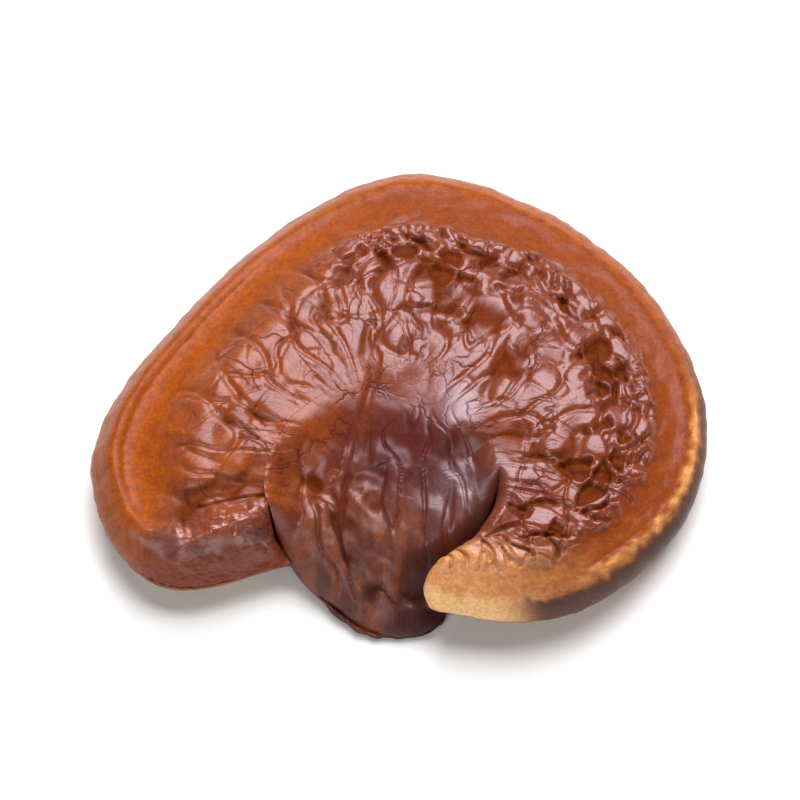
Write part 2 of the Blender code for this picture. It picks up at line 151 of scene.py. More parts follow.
CREASES = (
    (0.7, 0.8, ((-3.6, 47.0), (-4.4, 41.0), (-5.4, 35.2), (-4.8, 27.4), (-5.9, 21.7))),
    (0.5, 1.1, ((-5.9, 21.7), (-5.9, 16.1), (-8.9, 11.1), (-9.2, 6.7), (-6.4, 2.6), (-1.3, -2.2))),
    (0.6, 0.9, ((-9.0, 10.8), (-11.5, 12.8), (-13.0, 15.0))),
    (1.2, 1.7, ((13.6, 19.8), (12.1, 18.8), (9.0, 17.8), (6.8, 17.4))),
    (0.7, 1.1, ((-20.5, 22.5), (-18.2, 19.9), (-14.6, 14.2), (-12.0, 14.0), (-9.4, 14.8))),
    (0.5, 1.0, ((-8.0, 8.5), (-5.9, 5.8), (-1.8, 3.6), (0.3, 0.2))),
    (0.6, 0.7, ((14.5, 4.7), (17.0, 3.6), (19.6, 2.0))),
    (0.6, 0.7, ((14.1, 16.4), (17.0, 16.4), (20.3, 15.8))),
    (0.5, 0.7, ((14.1, 10.7), (17.0, 10.2), (19.7, 9.1))),
    (0.5, 0.7, ((6.0, 37.5), (1.9, 37.8), (-1.2, 36.3), (-3.3, 33.0))),
    (0.8, 1.1, ((10.2, 25.5), (12.6, 29.0), (15.2, 32.2), (19.3, 35.4))),
    (0.8, 1.1, ((-29.0, 10.6), (-25.0, 12.0), (-21.5, 13.2), (-18.4, 14.6))),
)
# Rises and hollows of the top: plan point, height, and half width
MOUNDS = (
    (9.2, 9.2, 2.0, 4.8), (5.7, 20.4, 1.6, 4.4), (-13.5, 20.5, 0.6, 2.6),
    (-11.0, 16.8, 0.5, 2.2), (2.6, 44.8, -0.8, 2.6), (4.8, 40.0, -0.9, 2.4), (10.6, 36.8, -1.0, 2.8),
    (15.2, 44.2, -0.5, 1.8), (19.8, 31.5, -0.7, 2.4), (15.6, 38.6, 0.7, 2.6), (-23.0, 6.5, 0.7, 4.0),
    (19.0, 24.0, 0.5, 5.0), (-24.0, 27.0, 0.4, 5.0), (13.6, -0.4, 0.5, 3.6), (29.0, 17.0, 0.5, 4.5),
)
# How wide the smooth band inside the margin is, by angle, before the wrinkled part begins
BAND_WIDTH = (
    (-76, 2.8), (-45, 4.2), (-20, 5.5), (0, 7.0), (20, 7.4), (45, 8.2), (62, 9.6), (78, 11.2), (90, 10.6),
    (100, 9.6), (120, 9.2), (140, 9.6), (160, 10.6), (175, 11.2), (187, 10.2), (194, 6.8), (199, 2.6),
    (205, 1.2), (214, 0.9), (222, 0.9),
)

# Lesser rises of the top, in the same form
SMALL_MOUNDS = ((-31.0, 4.6, 0.4, 2.0), (10.2, 11.0, 0.3, 3.0))
# The dark dusty valley that crosses the neck, through plan points
DUSTY_LINE = ((-11.0, 20.5), (-5.5, 22.0), (0.0, 20.3), (7.0, 18.3), (12.0, 19.0))
# Sizes of the flat slabs and of the pits between them, and how far the pits go down
SLAB_SIZE, PIT_SIZE, PIT_DEPTH = 5.0, 3.4, 0.9
# How many small blocks there are per radian where the wrinkled part begins
BLOCKS_ROUND = 9.0
# The patchwork repeats after this many cells
PATCHWORK_CELLS = 61
# The stem's skin counts as this far in from the margin
WELL_INSIDE = 20.0
# How uneven the margin and the stem's foot are
MARGIN_RAGGED, FOOT_RAGGED = 0.28, 0.55
# Two glossy spots on the neck: plan point and radius
GLOSSY_SPOTS = ((5.9, 23.4, 3.4), (8.0, 13.0, 4.6))
# Beyond this line across the stem its underside is pore side
PORES_FROM = 9.0

# Steps of each skin round the growth centre, over its top and over its underside
CAP_GRID = ((560, 104, 34))
STEM_GRID = ((320, 78, 26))

# The studio's lights: name, direction, distance and size in metres, power in watts, and colour
SOFTBOXES = (
    ("far softbox", (0.13, 0.52, 0.84), 0.80, (0.72, 0.72), 13.6, (1.0, 1.0, 1.0)),
    ("front softbox", (-0.40, -0.74, 0.54), 1.0, (0.60, 0.34), 4.4, (1.0, 0.97, 0.96)),
)
SKY_COLOUR, SKY_STRENGTH = (0.93, 0.95, 1.0, 1.0), 0.10
FLOOR_HALF_WIDTH = 2.0
# How far the camera aims off the mushroom's middle, in metres
AIM_SHIFT = (0.0, -0.0022, 0.0)


def smooth_table(table, at):
    """Reads a table of (position, value) pairs at many positions, along a smooth curve."""
    xs = np.array([row[0] for row in table], float)
    ys = np.array([row[1] for row in table], float)
    slopes = np.gradient(ys, xs)
    at = np.clip(at, xs[0], xs[-1])
    k = np.clip(np.searchsorted(xs, at, side="right") - 1, 0, len(xs) - 2)
    step = xs[k + 1] - xs[k]
    t = (at - xs[k]) / step
    return (
        (1 + 2 * t) * (1 - t) ** 2 * ys[k]
        + t * (1 - t) ** 2 * step * slopes[k]
        + t * t * (3 - 2 * t) * ys[k + 1]
        + t * t * (t - 1) * step * slopes[k + 1]
    )


def smoothstep(low, high, value):
    """0 at low, 1 at high, and a smooth run between them. Low may be the larger."""
    t = np.clip((value - low) / (high - low), 0.0, 1.0)
    return t * t * (3 - 2 * t)


def hill(value, centre, width):
    """1 at the centre, falling off smoothly over the width."""
    return np.exp(-(((value - centre) / width) ** 2))


def quarter_round(distance, radius):
    """0 at the edge, rising as a quarter circle to 1 at one radius from it."""
    inward = 1.0 - np.clip(distance / radius, 0.0, 1.0)
    return np.sqrt(np.clip(1.0 - inward * inward, 0.0, 1.0))


def at_angle(angle, radius):
    """Plan points at these angles, in degrees, and radii round the growth centre."""
    turn = np.radians(angle)
    return np.stack([GROWTH_CENTRE[0] + radius * np.cos(turn), GROWTH_CENTRE[1] + radius * np.sin(turn)], -1)


def polar(points):
    """Angle from -100 to 260 degrees, and radius, of plan points round the growth centre."""
    away = points - np.array(GROWTH_CENTRE)
    angle = (np.degrees(np.arctan2(away[..., 1], away[..., 0])) + 100.0) % 360.0 - 100.0
    return angle, np.hypot(away[..., 0], away[..., 1])


def edge_line(table, start, end):
    """Points along an outline between two angles."""
    angles = np.linspace(start, end, 160)
    return at_angle(angles, smooth_table(table, angles))


def distance_to_line(points, line):
    """Least distance from each plan point to a line through the given points."""
    line = np.asarray(line, float)
    starts, runs = line[:-1], np.diff(line, axis=0)
    lengths = np.maximum((runs * runs).sum(-1), 1e-12)
    nearest = np.empty(len(points))
    for k in range(0, len(points), 4000):
        away = points[k:k + 4000, None, :] - starts[None]
        along = np.clip((away * runs).sum(-1) / lengths, 0.0, 1.0)
        off = away - along[..., None] * runs
        nearest[k:k + 4000] = np.sqrt((off * off).sum(-1).min(1))
    return nearest


def right_of_line(points, line):
    """Distance from a line that runs up in plan, on its right, and 0 on its left."""
    ys = np.array([point[1] for point in line])
    xs = np.array([point[0] for point in line])
    right = points[:, 0] > np.interp(points[:, 1], ys, xs)
    return distance_to_line(points, np.array(line)) * right


def rough(points, size, seed):
    """Smooth noise from about -1 to 1 over plan points, with lumps of this size."""
    return np.array([noise.noise(Vector((x / size, y / size, seed))) for x, y in points]) * 1.6


def fan_points(points, folds_round, length):
    """Plan points unrolled round the growth centre, so that noise on them makes radial folds."""
    angle, radius = polar(points)
    return np.stack([np.radians(angle) * folds_round, radius / length], -1)


def top_relief(points, margin):
    """What the lacquered top has on its plain form: bead, trough, rings, folds and lumps."""
    angle, radius = polar(points)
    share = radius / smooth_table(OUTER_EDGE, angle)
    relief = smooth_table(BEAD_HEIGHT, angle) * hill(margin, BEAD_INSET, BEAD_WIDTH)
    relief -= smooth_table(TROUGH_DEPTH, angle) * hill(margin, TROUGH_INSET, TROUGH_WIDTH)
    inside = smoothstep(5.0, 10.0, margin)
    uneven = rough(points, 9.0, 3.0)
    for where, depth in RINGS:
        relief -= inside * depth * (0.7 + 0.5 * uneven) * hill(share - 0.03 * uneven, where, RING_WIDTH)
    folds = np.abs(rough(fan_points(points, FOLDS_ROUND, FOLD_LENGTH), 1.0, 7.0))
    folds = np.minimum(folds / FOLD_VALLEY, 1.0) - 0.8
    relief += inside * FOLD_DEPTH * smoothstep(*FOLDS_FROM, radius) * folds
    right_side = smoothstep(100.0, 50.0, angle)
    relief += inside * (0.4 + 0.6 * right_side) * LUMP_HEIGHT * rough(points, LUMP_SIZE, 11.0)
    return relief


def patchwork(across, along, seed):
    """Uneven cells on a unit grid: how far in from the cell's border each point is, and a tilted level."""
    chance = np.random.default_rng(seed).random((PATCHWORK_CELLS, PATCHWORK_CELLS, 5))
    column, row = np.floor(across).astype(int), np.floor(along).astype(int)
    nearest = np.full(across.shape, 9.0)
    second = np.full(across.shape, 9.0)
    level = np.zeros(across.shape)
    for i in (-1, 0, 1):
        for j in (-1, 0, 1):
            cell = chance[(column + i) % PATCHWORK_CELLS, (row + j) % PATCHWORK_CELLS]
            dx = across - (column + i + 0.12 + 0.76 * cell[:, 0])
            dy = along - (row + j + 0.12 + 0.76 * cell[:, 1])
            away = np.hypot(dx, dy)
            closer = away < nearest
            second = np.where(closer, nearest, np.minimum(second, away))
            tilted = (cell[:, 2] - 0.5) * dx * 2.0 + (cell[:, 3] - 0.5) * dy * 2.0 + (cell[:, 4] - 0.5)
            level = np.where(closer, tilted, level)
            nearest = np.where(closer, away, nearest)
    return second - nearest, level


def fine_relief(points, margin, settings):
    """Wrinkles and small lumps of the skin, finer than the solids carry. Also gives its wrinkled share."""
    angle, radius = polar(points)
    ragged = 0.9 * rough(points, 3.2, 41.0) + 0.5 * rough(points, 1.3, 42.0)
    band = smooth_table(BAND_WIDTH, angle)
    inland = margin + ragged - band
    share = radius / smooth_table(OUTER_EDGE, angle)
    right_side = smoothstep(118.0, 92.0, angle)
    # The border of the wrinkled part is a ledge on the right and fades away on the left
    wrinkled = smoothstep(-2.6 + 2.0 * right_side, 3.0 - 2.5 * right_side, inland)
    outlying = smoothstep(7.0, 14.0, radius)
    drift = np.stack([rough(points, 5.0, 51.0), rough(points, 5.0, 52.0)], -1)
    strays = (points + 0.9 * drift).T

    # Flat slabs, each with its own small tilt, parted by valleys
    slabs = wrinkled * (0.30 + 0.70 * right_side) * smoothstep(0.30, 0.50, share)
    slabs *= 1.0 - 0.6 * right_side * smoothstep(6.5, 10.0, inland)
    inside, level = patchwork(*(strays / SLAB_SIZE), 5)
    relief = settings.lump_height / MM * slabs * (0.60 * smoothstep(0.02, 0.16, inside) - 0.5 + 0.30 * level)

    # A chain of small blocks where the wrinkled part begins on the right, and pits behind it
    chain = right_side * smoothstep(0.0, 0.7, inland) * smoothstep(4.0, 3.2, inland)
    along = np.abs((np.radians(angle) * BLOCKS_ROUND + 0.9 * rough(points, 4.0, 61.0)) % 1.0 - 0.5) * 2.0
    relief += chain * (0.30 - 0.75 * smoothstep(0.62, 0.92, along) + 0.11 * (1.8 - inland))
    pitted = right_side * smoothstep(2.6, 3.8, inland) * smoothstep(10.5, 7.0, inland)
    pitted *= smoothstep(-50.0, -22.0, angle) * smoothstep(13.0, 17.0, radius)
    inside, level = patchwork(*(strays / PIT_SIZE), 6)
    pits = pitted * smoothstep(-0.06, -0.16, level) * smoothstep(0.04, 0.22, inside)
    relief -= PIT_DEPTH * pits

    # The puckered front of the left lobe
    front = smoothstep(194.0, 201.0, angle) * smoothstep(0.8, 2.2, margin)
    relief += 0.32 * front * rough(points, 2.4, 68.0) + 0.16 * front * rough(points, 1.1, 69.0)
    pits = np.maximum(pits, 0.8 * front * smoothstep(0.10, 0.45, rough(points, 3.0, 70.0)))

    # Radial cracks that wander a little as they run out
    broad = hill(rough(fan_points(points + 1.2 * drift, 5.5, 11.0), 1.0, 54.0), 0.0, 0.10)
    relief -= 0.5 * settings.wrinkle_depth / MM * wrinkled * broad * smoothstep(10.0, 19.0, radius)
    relief += (0.3 + 0.7 * outlying) * wrinkled * 0.06 * rough(points, 3.0, 62.0)
    relief += rises(points, SMALL_MOUNDS)

    # The raised ledge where the wrinkled part begins, and the unevenness of the smooth band
    relief += 0.30 * wrinkled - 0.15
    relief += 0.14 * (1.0 - wrinkled) * right_side * smoothstep(1.5, 4.0, margin) * rough(points, 2.0, 64.0)
    # The inner side of the bead is steep on the left
    left = smoothstep(95.0, 140.0, angle) * smoothstep(214.0, 200.0, angle)
    relief += 0.35 * left * smoothstep(4.6, 3.9, margin + 0.25 * ragged)
    # The crust that beads up along the margin on the right
    crust = smoothstep(-42.0, -26.0, angle) * smoothstep(24.0, 8.0, angle)
    relief += 0.5 * crust * hill(margin, 1.9, 0.6) * (0.2 + np.abs(rough(points, 1.5, 65.0)) * 1.5)
    along_margin = np.stack([np.radians(angle) * 6.0, margin * 1.2], -1)
    relief += 0.10 * rough(along_margin, 1.0, 66.0) * smoothstep(4.0, 2.0, margin)
    return relief, wrinkled, pits


def rises(points, mounds):
    """Rounded rises and hollows, from rows of plan point, height and half width."""
    relief = np.zeros(len(points))
    for x, y, height, width in mounds:
        relief += height * np.exp(-(((points - np.array((x, y))) ** 2).sum(1)) / width ** 2)
    return relief


def creases_and_mounds(points):
    """The main creases of the top, then its broad rises and hollows."""
    relief = np.zeros(len(points))
    wandering = points + CREASE_WANDER * np.stack([rough(points, 3.6, 71.0), rough(points, 3.6, 72.0)], -1)
    uneven = 0.75 + 0.5 * rough(points, 5.0, 73.0)
    for depth, width, line in CREASES:
        relief -= uneven * depth * hill(distance_to_line(wandering, line), 0.0, width)
    return relief + rises(points, MOUNDS)


def crevice_depth(angle):
    """How deep the crevice by the stem is, from 0 where cap and stem meet to 1 between free sides."""
    right = smoothstep(CREVICE_ENDS[0], CREVICE_ENDS[0] - CREVICE_RUN, angle)
    return np.maximum(right, smoothstep(CREVICE_ENDS[1], CREVICE_ENDS[1] + CREVICE_RUN * 0.5, angle))


def centre_top(points):
    """The top skin of the cap carried in over the growth centre."""
    angle, radius = polar(points)
    share = radius / smooth_table(OUTER_EDGE, angle)
    top = smooth_table(TOP_PROFILE, share) + smooth_table(TOP_SHIFT, angle) * smoothstep(0.2, 0.7, share)
    return top + smooth_table(LOBE_RISE, angle) * smoothstep(0.5, 0.8, share)


def plain_masks(margin, bark):
    """Masks of a skin with nothing on it, which has this share of bark."""
    none = 0.0 * margin
    bare = dict.fromkeys(("wrinkled", "crazed", "pits", "relief"), none)
    return {"margin": margin, "bark": none + bark} | bare


def cap_skin(points, below, settings):
    """Heights of the cap's top or pore side over plan points, and the masks that its finish reads."""
    angle, _ = polar(points)
    outer = distance_to_line(points, edge_line(OUTER_EDGE, OUTER_EDGE[0][0], OUTER_EDGE[-1][0]))
    lobes = (
        edge_line(INNER_EDGE, INNER_EDGE[0][0], CREVICE_ENDS[0]),
        edge_line(INNER_EDGE, CREVICE_ENDS[1], INNER_EDGE[-1][0]),
    )
    inner = np.minimum(*[distance_to_line(points, line) for line in lobes])
    margin = np.minimum(outer, inner)
    widest = smooth_table(MARGIN_HEIGHT, angle)
    if below:
        hollow = HOLLOW_DEPTH * smoothstep(2.0, HOLLOW_RUN, margin)
        hollow += 0.25 * rough(points, 8.0, 23.0) * smoothstep(4.0, 9.0, margin)
        low = widest - smooth_table(MARGIN_BELOW, angle) + hollow
        heights = widest - (widest - low) * quarter_round(margin, BOTTOM_ROUNDING)
        return heights, plain_masks(outer, 0.0)
    fine, wrinkled, pits = fine_relief(points, outer, settings)
    shape = top_relief(points, outer) + creases_and_mounds(points) + fine
    top = centre_top(points) + shape
    rise = quarter_round(outer, smooth_table(TOP_ROUNDING, angle))
    rise *= 1.0 - crevice_depth(angle) * (1.0 - quarter_round(inner, INNER_ROUNDING))
    found = {"wrinkled": wrinkled, "crazed": wrinkled, "pits": pits, "relief": shape}
    return widest + (top - widest) * rise, plain_masks(outer, 0.0) | found


def stem_skin(points, below, settings):
    """Heights of the stem's top or underside over plan points, and the masks that its finish reads."""
    x, y = points[:, 0], points[:, 1]
    angle, _ = polar(points)
    side = distance_to_line(points, edge_line(STEM_EDGE, CREVICE_ENDS[1], CREVICE_ENDS[0] + 360))
    widest = smooth_table(STEM_WIDEST, y)
    rounding = smooth_table(STEM_ROUNDING, angle)
    far = np.full(len(points), WELL_INSIDE)
    if below:
        low = smooth_table(STEM_UNDERSIDE, y) + 0.2 * rough(points, 3.0, 24.0) * smoothstep(6.0, 9.0, y)
        heights = widest - (widest - low) * quarter_round(side, rounding * 0.6)
        return heights, plain_masks(far, 1.0)
    lean = x - smooth_table(CREST_LINE, y)
    neck = distance_to_line(points, edge_line(STEM_EDGE, STEM_EDGE[0][0], CREVICE_ENDS[1]))
    far_neck = edge_line(STEM_EDGE, CREVICE_ENDS[0] + 360, STEM_EDGE[-1][0])
    neck = np.minimum(neck, distance_to_line(points, far_neck))
    free = smoothstep(26.0, 14.0, y) * smoothstep(0.0, NECK_BLEND, neck)
    grooves = np.stack([x / STEM_GROOVE_WIDTH, y / STEM_GROOVE_LENGTH], -1)
    own = smooth_table(CREST_HEIGHT, y) - np.where(lean < 0, CREST_ARCH_LEFT, CREST_ARCH_RIGHT) * lean ** 2
    own += STEM_GROOVE_DEPTH * np.abs(rough(grooves, 1.0, 31.0))
    fine, wrinkled, _ = fine_relief(points, far, settings)
    worn = free * smoothstep(16.0, 8.0, y)
    along = np.stack([(x + 0.12 * y) / 3.2 + 0.5 * rough(points, 5.0, 81.0), y / 11.0], -1)
    bark = -settings.groove_depth / MM * hill(rough(along, 1.0, 82.0), 0.0, 0.12)
    bark += 0.30 * rough(points, 3.4, 84.0) + 0.06 * rough(points, 1.2, 83.0)
    shape = creases_and_mounds(points) + (1.0 - worn) * fine + free * bark
    shape += (1.0 - free) * top_relief(points, np.full(len(points), 12.0))
    beyond = smoothstep(0.0, FLANK_RUN, right_of_line(points, FLANK_LINE))
    own += (np.minimum(own, widest + FLANK_FOOT) - own) * beyond
    top = centre_top(points) + (own - centre_top(points)) * free + shape
    open_side = np.where(angle < -76.0, 1.0, crevice_depth(angle))
    open_side = np.maximum(open_side, smoothstep(-60.0, -76.0, angle))
    rise = 1.0 - open_side * (1.0 - quarter_round(side, rounding))
    heights = widest + (top - widest) * rise
    bark_share = smoothstep(15.0, 4.0, y + 1.6 * rough(points, 4.0, 71.0))
    bark_share *= smoothstep(0.0, NECK_BLEND, neck)
    crazed = wrinkled * (1.0 - worn)
    return heights, plain_masks(far, bark_share) | {"wrinkled": wrinkled, "crazed": crazed, "relief": shape}


def finish_masks(points, masks, below):
    """Masks for the finishes, from 0 to 1, by name."""
    angle, radius = polar(points)
    margin = masks["margin"]
    x, y = points[:, 0], points[:, 1]
    ragged = 0.35 * rough(points, 1.2, 91.0)
    crust_arc = smoothstep(-40.0, -26.0, angle) * smoothstep(22.0, 8.0, angle)
    wall_arc = smoothstep(-56.0, -42.0, angle) * smoothstep(30.0, 12.0, angle)
    tip = smoothstep(-44.0, -58.0, angle) * smoothstep(1.9, 1.1, margin + ragged + 0.2)
    off_neck = np.hypot((x - 0.4 * (16.0 - y) - 1.0) / 14.0, (y - 17.0) / 10.5)
    off_neck += 0.10 * rough(points, 4.0, 92.0)
    off_dusty_line = distance_to_line(points, DUSTY_LINE) + 1.0 * rough(points, 3.0, 95.0)
    glossy = [hill(np.hypot(x - spot_x, y - spot_y), 0.0, size) for spot_x, spot_y, size in GLOSSY_SPOTS]
    lobe_side = smoothstep(194.0, 207.0, angle) * smoothstep(60.0, 40.0, radius)
    lobe_front = smoothstep(193.0, 201.0, angle) * smoothstep(7.0, 4.5, margin)
    return {
        "band": np.clip(margin / smooth_table(BAND_WIDTH, angle) / 2.0, 0.0, 1.0),
        "wrinkled": masks["wrinkled"],
        "pits": masks["pits"],
        "cracked": masks["crazed"] * smoothstep(10.0, 17.0, radius),
        "near_neck": masks["crazed"] * smoothstep(17.0, 12.0, radius) * smoothstep(3.0, 8.0, radius),
        "dusty": smoothstep(4.4, 1.4, off_dusty_line),
        "sheen": np.maximum(*glossy),
        "relief": np.clip(0.5 + masks["relief"] / 3.0, 0.0, 1.0),
        "bark": masks["bark"],
        "neck_dark": smoothstep(1.15, 0.35, off_neck),
        # Painted shade on the stem's right side, which lies in shadow; the bark there is also purplish
        "stem_right_painted_shade": smoothstep(-5.0, 2.0, x - 0.35 * y + 1.2 * rough(points, 3.0, 93.0)),
        "left_side": smoothstep(80.0, 150.0, angle) * smoothstep(215.0, 200.0, angle),
        "pale_tip": tip,
        # The left lobe's side is partly its own dark red and partly painted shade, as it faces down
        "lobe_wall": lobe_side * smoothstep(2.6, 0.8, margin + ragged),
        "lobe_front": lobe_front * smoothstep(1.6, 2.6, margin + ragged),
        "young_tip": smoothstep(-20.0, -64.0, angle) * smoothstep(11.0, 3.0, margin),
        "crust_line": crust_arc * hill(margin + ragged, 1.8, 0.40) * (0.8 + 0.5 * rough(points, 1.6, 94.0)),
        # Painted shade on the side wall under the crust, which faces away from the light
        "painted_shade_wall": wall_arc * smoothstep(1.3, 0.8, margin + ragged),
        "foot_below": masks["bark"] * smoothstep(15.0, 10.5, y + 4.0 * ragged),
        "below": np.full(len(points), 1.0 if below else 0.0),
    }


def inward_steps(width, rounding, steps, round_steps):
    """Distances in from the outer edge: a rounded edge, even steps, and a rounded inner edge."""
    outer, inner = min(rounding, 0.35 * width), min(2.4, 0.2 * width)
    turn = np.linspace(0.0, math.pi / 2, round_steps + 1)
    start = outer * (1 - np.cos(turn))
    middle = np.linspace(outer, width - inner, steps + 1)[1:]
    end = width - inner * np.array([0.7, 0.45, 0.25, 0.1, 0.0])
    return np.concatenate([start, middle, end])


def mesh_piece(name, corners, faces, masks):
    """A smooth mesh object from corner positions in mm, faces, and masks kept as attributes."""
    mesh = bpy.data.meshes.new(name)
    mesh.from_pydata(corners * MM, [], faces)
    for mask, values in masks.items():
        mesh.attributes.new(mask, "FLOAT", "POINT").data.foreach_set("value", values.astype(np.float32))
    # Where each corner lies on lines that run out from the growth centre, for the grain of the skin
    plan = corners[:, :2]
    angle, radius = polar(plan + np.stack([rough(plan, 4.0, 57.0), rough(plan, 4.0, 58.0)], -1))
    fan = np.column_stack([np.cos(np.radians(angle)), np.sin(np.radians(angle)), radius / 100.0])
    fan_data = mesh.attributes.new("fan", "FLOAT_VECTOR", "POINT").data
    fan_data.foreach_set("vector", fan.astype(np.float32).ravel())
    mesh.shade_smooth()
    piece = bpy.data.objects.new(name, mesh)
    bpy.context.scene.collection.objects.link(piece)
    return piece


def faces_below(piece):
    """The faces whose corners all lie on the piece's underside."""
    below = np.empty(len(piece.data.vertices), np.float32)
    piece.data.attributes["below"].data.foreach_get("value", below)
    return [face for face in piece.data.polygons if all(below[corner] > 0.5 for corner in face.vertices)]


def ring_faces(rings, count):
    """Quads between rings of corners that are numbered ring by ring."""
    a = np.arange(rings - 1)[:, None] * count + np.arange(count)[None]
    b = np.roll(a, -1, axis=1)
    return np.stack([a, b, b + count, a + count], -1).reshape(-1, 4)


def ragged_edge(angles, table, size, seed):
    """The outline's radius with the small unevenness of the real margin."""
    radius = smooth_table(table, angles)
    plan = at_angle(angles, radius)
    return radius + size * (0.6 * rough(plan, 6.0, seed) + 0.4 * rough(plan, 1.8, seed + 1.0))


def build_cap(settings):
    """The cap as one closed skin: upright sections that fan out round the stem."""
    steps, top_steps, low_steps = CAP_GRID
    start, end = OUTER_EDGE[0][0] + 0.1, OUTER_EDGE[-1][0] - 0.1
    even = np.linspace(0.0, 1.0, steps)
    angles = start + (end - start) * (even - 0.6 * np.sin(2 * math.pi * even) / (2 * math.pi))
    reach = smooth_table(OUTER_EDGE, angles)
    near = smooth_table(INNER_EDGE, angles)
    wobble = ragged_edge(angles, OUTER_EDGE, MARGIN_RAGGED, 101.0) - reach
    tops, lows = [], []
    for angle, far, close in zip(angles, reach, near):
        width = far - close
        rounding = float(smooth_table(TOP_ROUNDING, angle))
        tops.append(at_angle(angle, far - inward_steps(width, rounding, top_steps, 12)))
        lows.append(at_angle(angle, far - inward_steps(width, BOTTOM_ROUNDING, low_steps, 8)[:0:-1]))
    tops, lows = np.array(tops), np.array(lows)
    parts = []
    for plan, below in ((tops, False), (lows, True)):
        flat = plan.reshape(-1, 2)
        heights, masks = cap_skin(flat, below, settings)
        # The margin's small unevenness moves the outline in and out
        angle, _ = polar(flat)
        shift = np.interp(angle, angles, wobble) * smoothstep(5.0, 0.0, masks["margin"])
        outward = flat - np.array(GROWTH_CENTRE)
        moved = flat + outward / np.linalg.norm(outward, axis=1)[:, None] * shift[:, None]
        shape = plan.shape[:2]
        parts.append((
            np.column_stack([moved, heights]).reshape(*shape, 3),
            {name: values.reshape(shape) for name, values in finish_masks(flat, masks, below).items()},
        ))
    corners = np.concatenate([parts[0][0], parts[1][0]], axis=1)
    (_, top_masks), (_, low_masks) = parts
    masks = {name: np.concatenate([top_masks[name], low_masks[name]], axis=1).ravel() for name in top_masks}
    count = corners.shape[1]
    faces = ring_faces(steps, count)[:, ::-1].tolist()
    faces.append(list(range(count)))
    faces.append([(steps - 1) * count + k for k in range(count)][::-1])
    piece = mesh_piece("reishi_cap", corners.reshape(-1, 3), faces, masks)
    border = [tops.shape[1] - 1, tops.shape[1]]
    sharpen_lines(piece, {k * count + column for k in range(steps) for column in border})
    return piece


def build_stem(settings):
    """The stem as one closed skin of rings round the growth centre, cut off level at the foot."""
    steps, top_steps, low_steps = STEM_GRID
    angles = STEM_EDGE[0][0] + np.arange(steps) * 360.0 / steps
    by_left_lobe = smoothstep(201, 209, angles) * smoothstep(232, 224, angles)
    by_right_lobe = smoothstep(298, 306, angles) * smoothstep(350, 338, angles)
    plain_reach = smooth_table(STEM_EDGE, angles)
    foot = smoothstep(232, 245, angles) * smoothstep(300, 290, angles)
    reach = plain_reach - CREVICE_GAP * (by_left_lobe + by_right_lobe)
    reach += foot * (ragged_edge(angles, STEM_EDGE, FOOT_RAGGED, 111.0) - plain_reach)
    turn = np.linspace(0.0, 1.0, top_steps)[1:]
    top_shares = np.sin(turn * math.pi / 2) ** 0.9
    low_shares = np.sin(np.linspace(0.0, 1.0, low_steps)[1:-1] * math.pi / 2)[::-1]
    corners, masks = [], []
    for shares, below in ((top_shares, False), (low_shares, True)):
        flat = np.concatenate([at_angle(angles, reach * share) for share in shares])
        heights, found = stem_skin(flat, below, settings)
        corners.append(np.column_stack([flat, heights]))
        masks.append(finish_masks(flat, found, below))
    centre = np.array([GROWTH_CENTRE])
    for below in (False, True):
        heights, found = stem_skin(centre, below, settings)
        corners.append(np.column_stack([centre, heights]))
        masks.append(finish_masks(centre, found, below))
    corners = np.concatenate(corners)
    masks = {name: np.concatenate([part[name] for part in masks]) for name in masks[0]}
    rings = len(top_shares) + len(low_shares)
    faces = ring_faces(rings, steps).tolist()
    top_pole, low_pole = len(corners) - 2, len(corners) - 1
    last = (rings - 1) * steps
    faces += [[(k + 1) % steps, k, top_pole] for k in range(steps)]
    faces += [[last + k, last + (k + 1) % steps, low_pole] for k in range(steps)]
    piece = mesh_piece("reishi_stem", corners, faces, masks)
    border = (len(top_shares) - 1) * steps
    meets_cap = (angles < CREVICE_ENDS[1] + 4.0) | (angles > CREVICE_ENDS[0] + 356.0)
    sharpen_lines(piece, {border + k for k in np.flatnonzero(meets_cap)})
    cut_level(piece)
    return piece


def cut_level(piece):
    """Cuts a piece off flat at the surface that it rests on."""
    body = bmesh.new()
    body.from_mesh(piece.data)
    bmesh.ops.recalc_face_normals(body, faces=body.faces)
    everything = [*body.verts, *body.edges, *body.faces]
    bmesh.ops.bisect_plane(
        body, geom=everything, dist=1e-7, plane_co=(0, 0, 0), plane_no=(0, 0, 1), clear_inner=True
    )
    filled = bmesh.ops.holes_fill(body, edges=[edge for edge in body.edges if edge.is_boundary], sides=0)
    for face in filled["faces"]:
        for edge in face.edges:
            edge.smooth = False
        face.smooth = False
    body.to_mesh(piece.data)
    body.free()


def sharpen_lines(piece, corners):
    """Marks the edges between these corners sharp, where a skin turns into a hidden wall."""
    mesh = piece.data
    pairs = np.empty(len(mesh.edges) * 2, int)
    mesh.edges.foreach_get("vertices", pairs)
    chosen = np.isin(pairs, list(corners)).reshape(-1, 2).all(1)
    mesh.attributes.new("sharp_edge", "BOOLEAN", "EDGE").data.foreach_set("value", chosen)


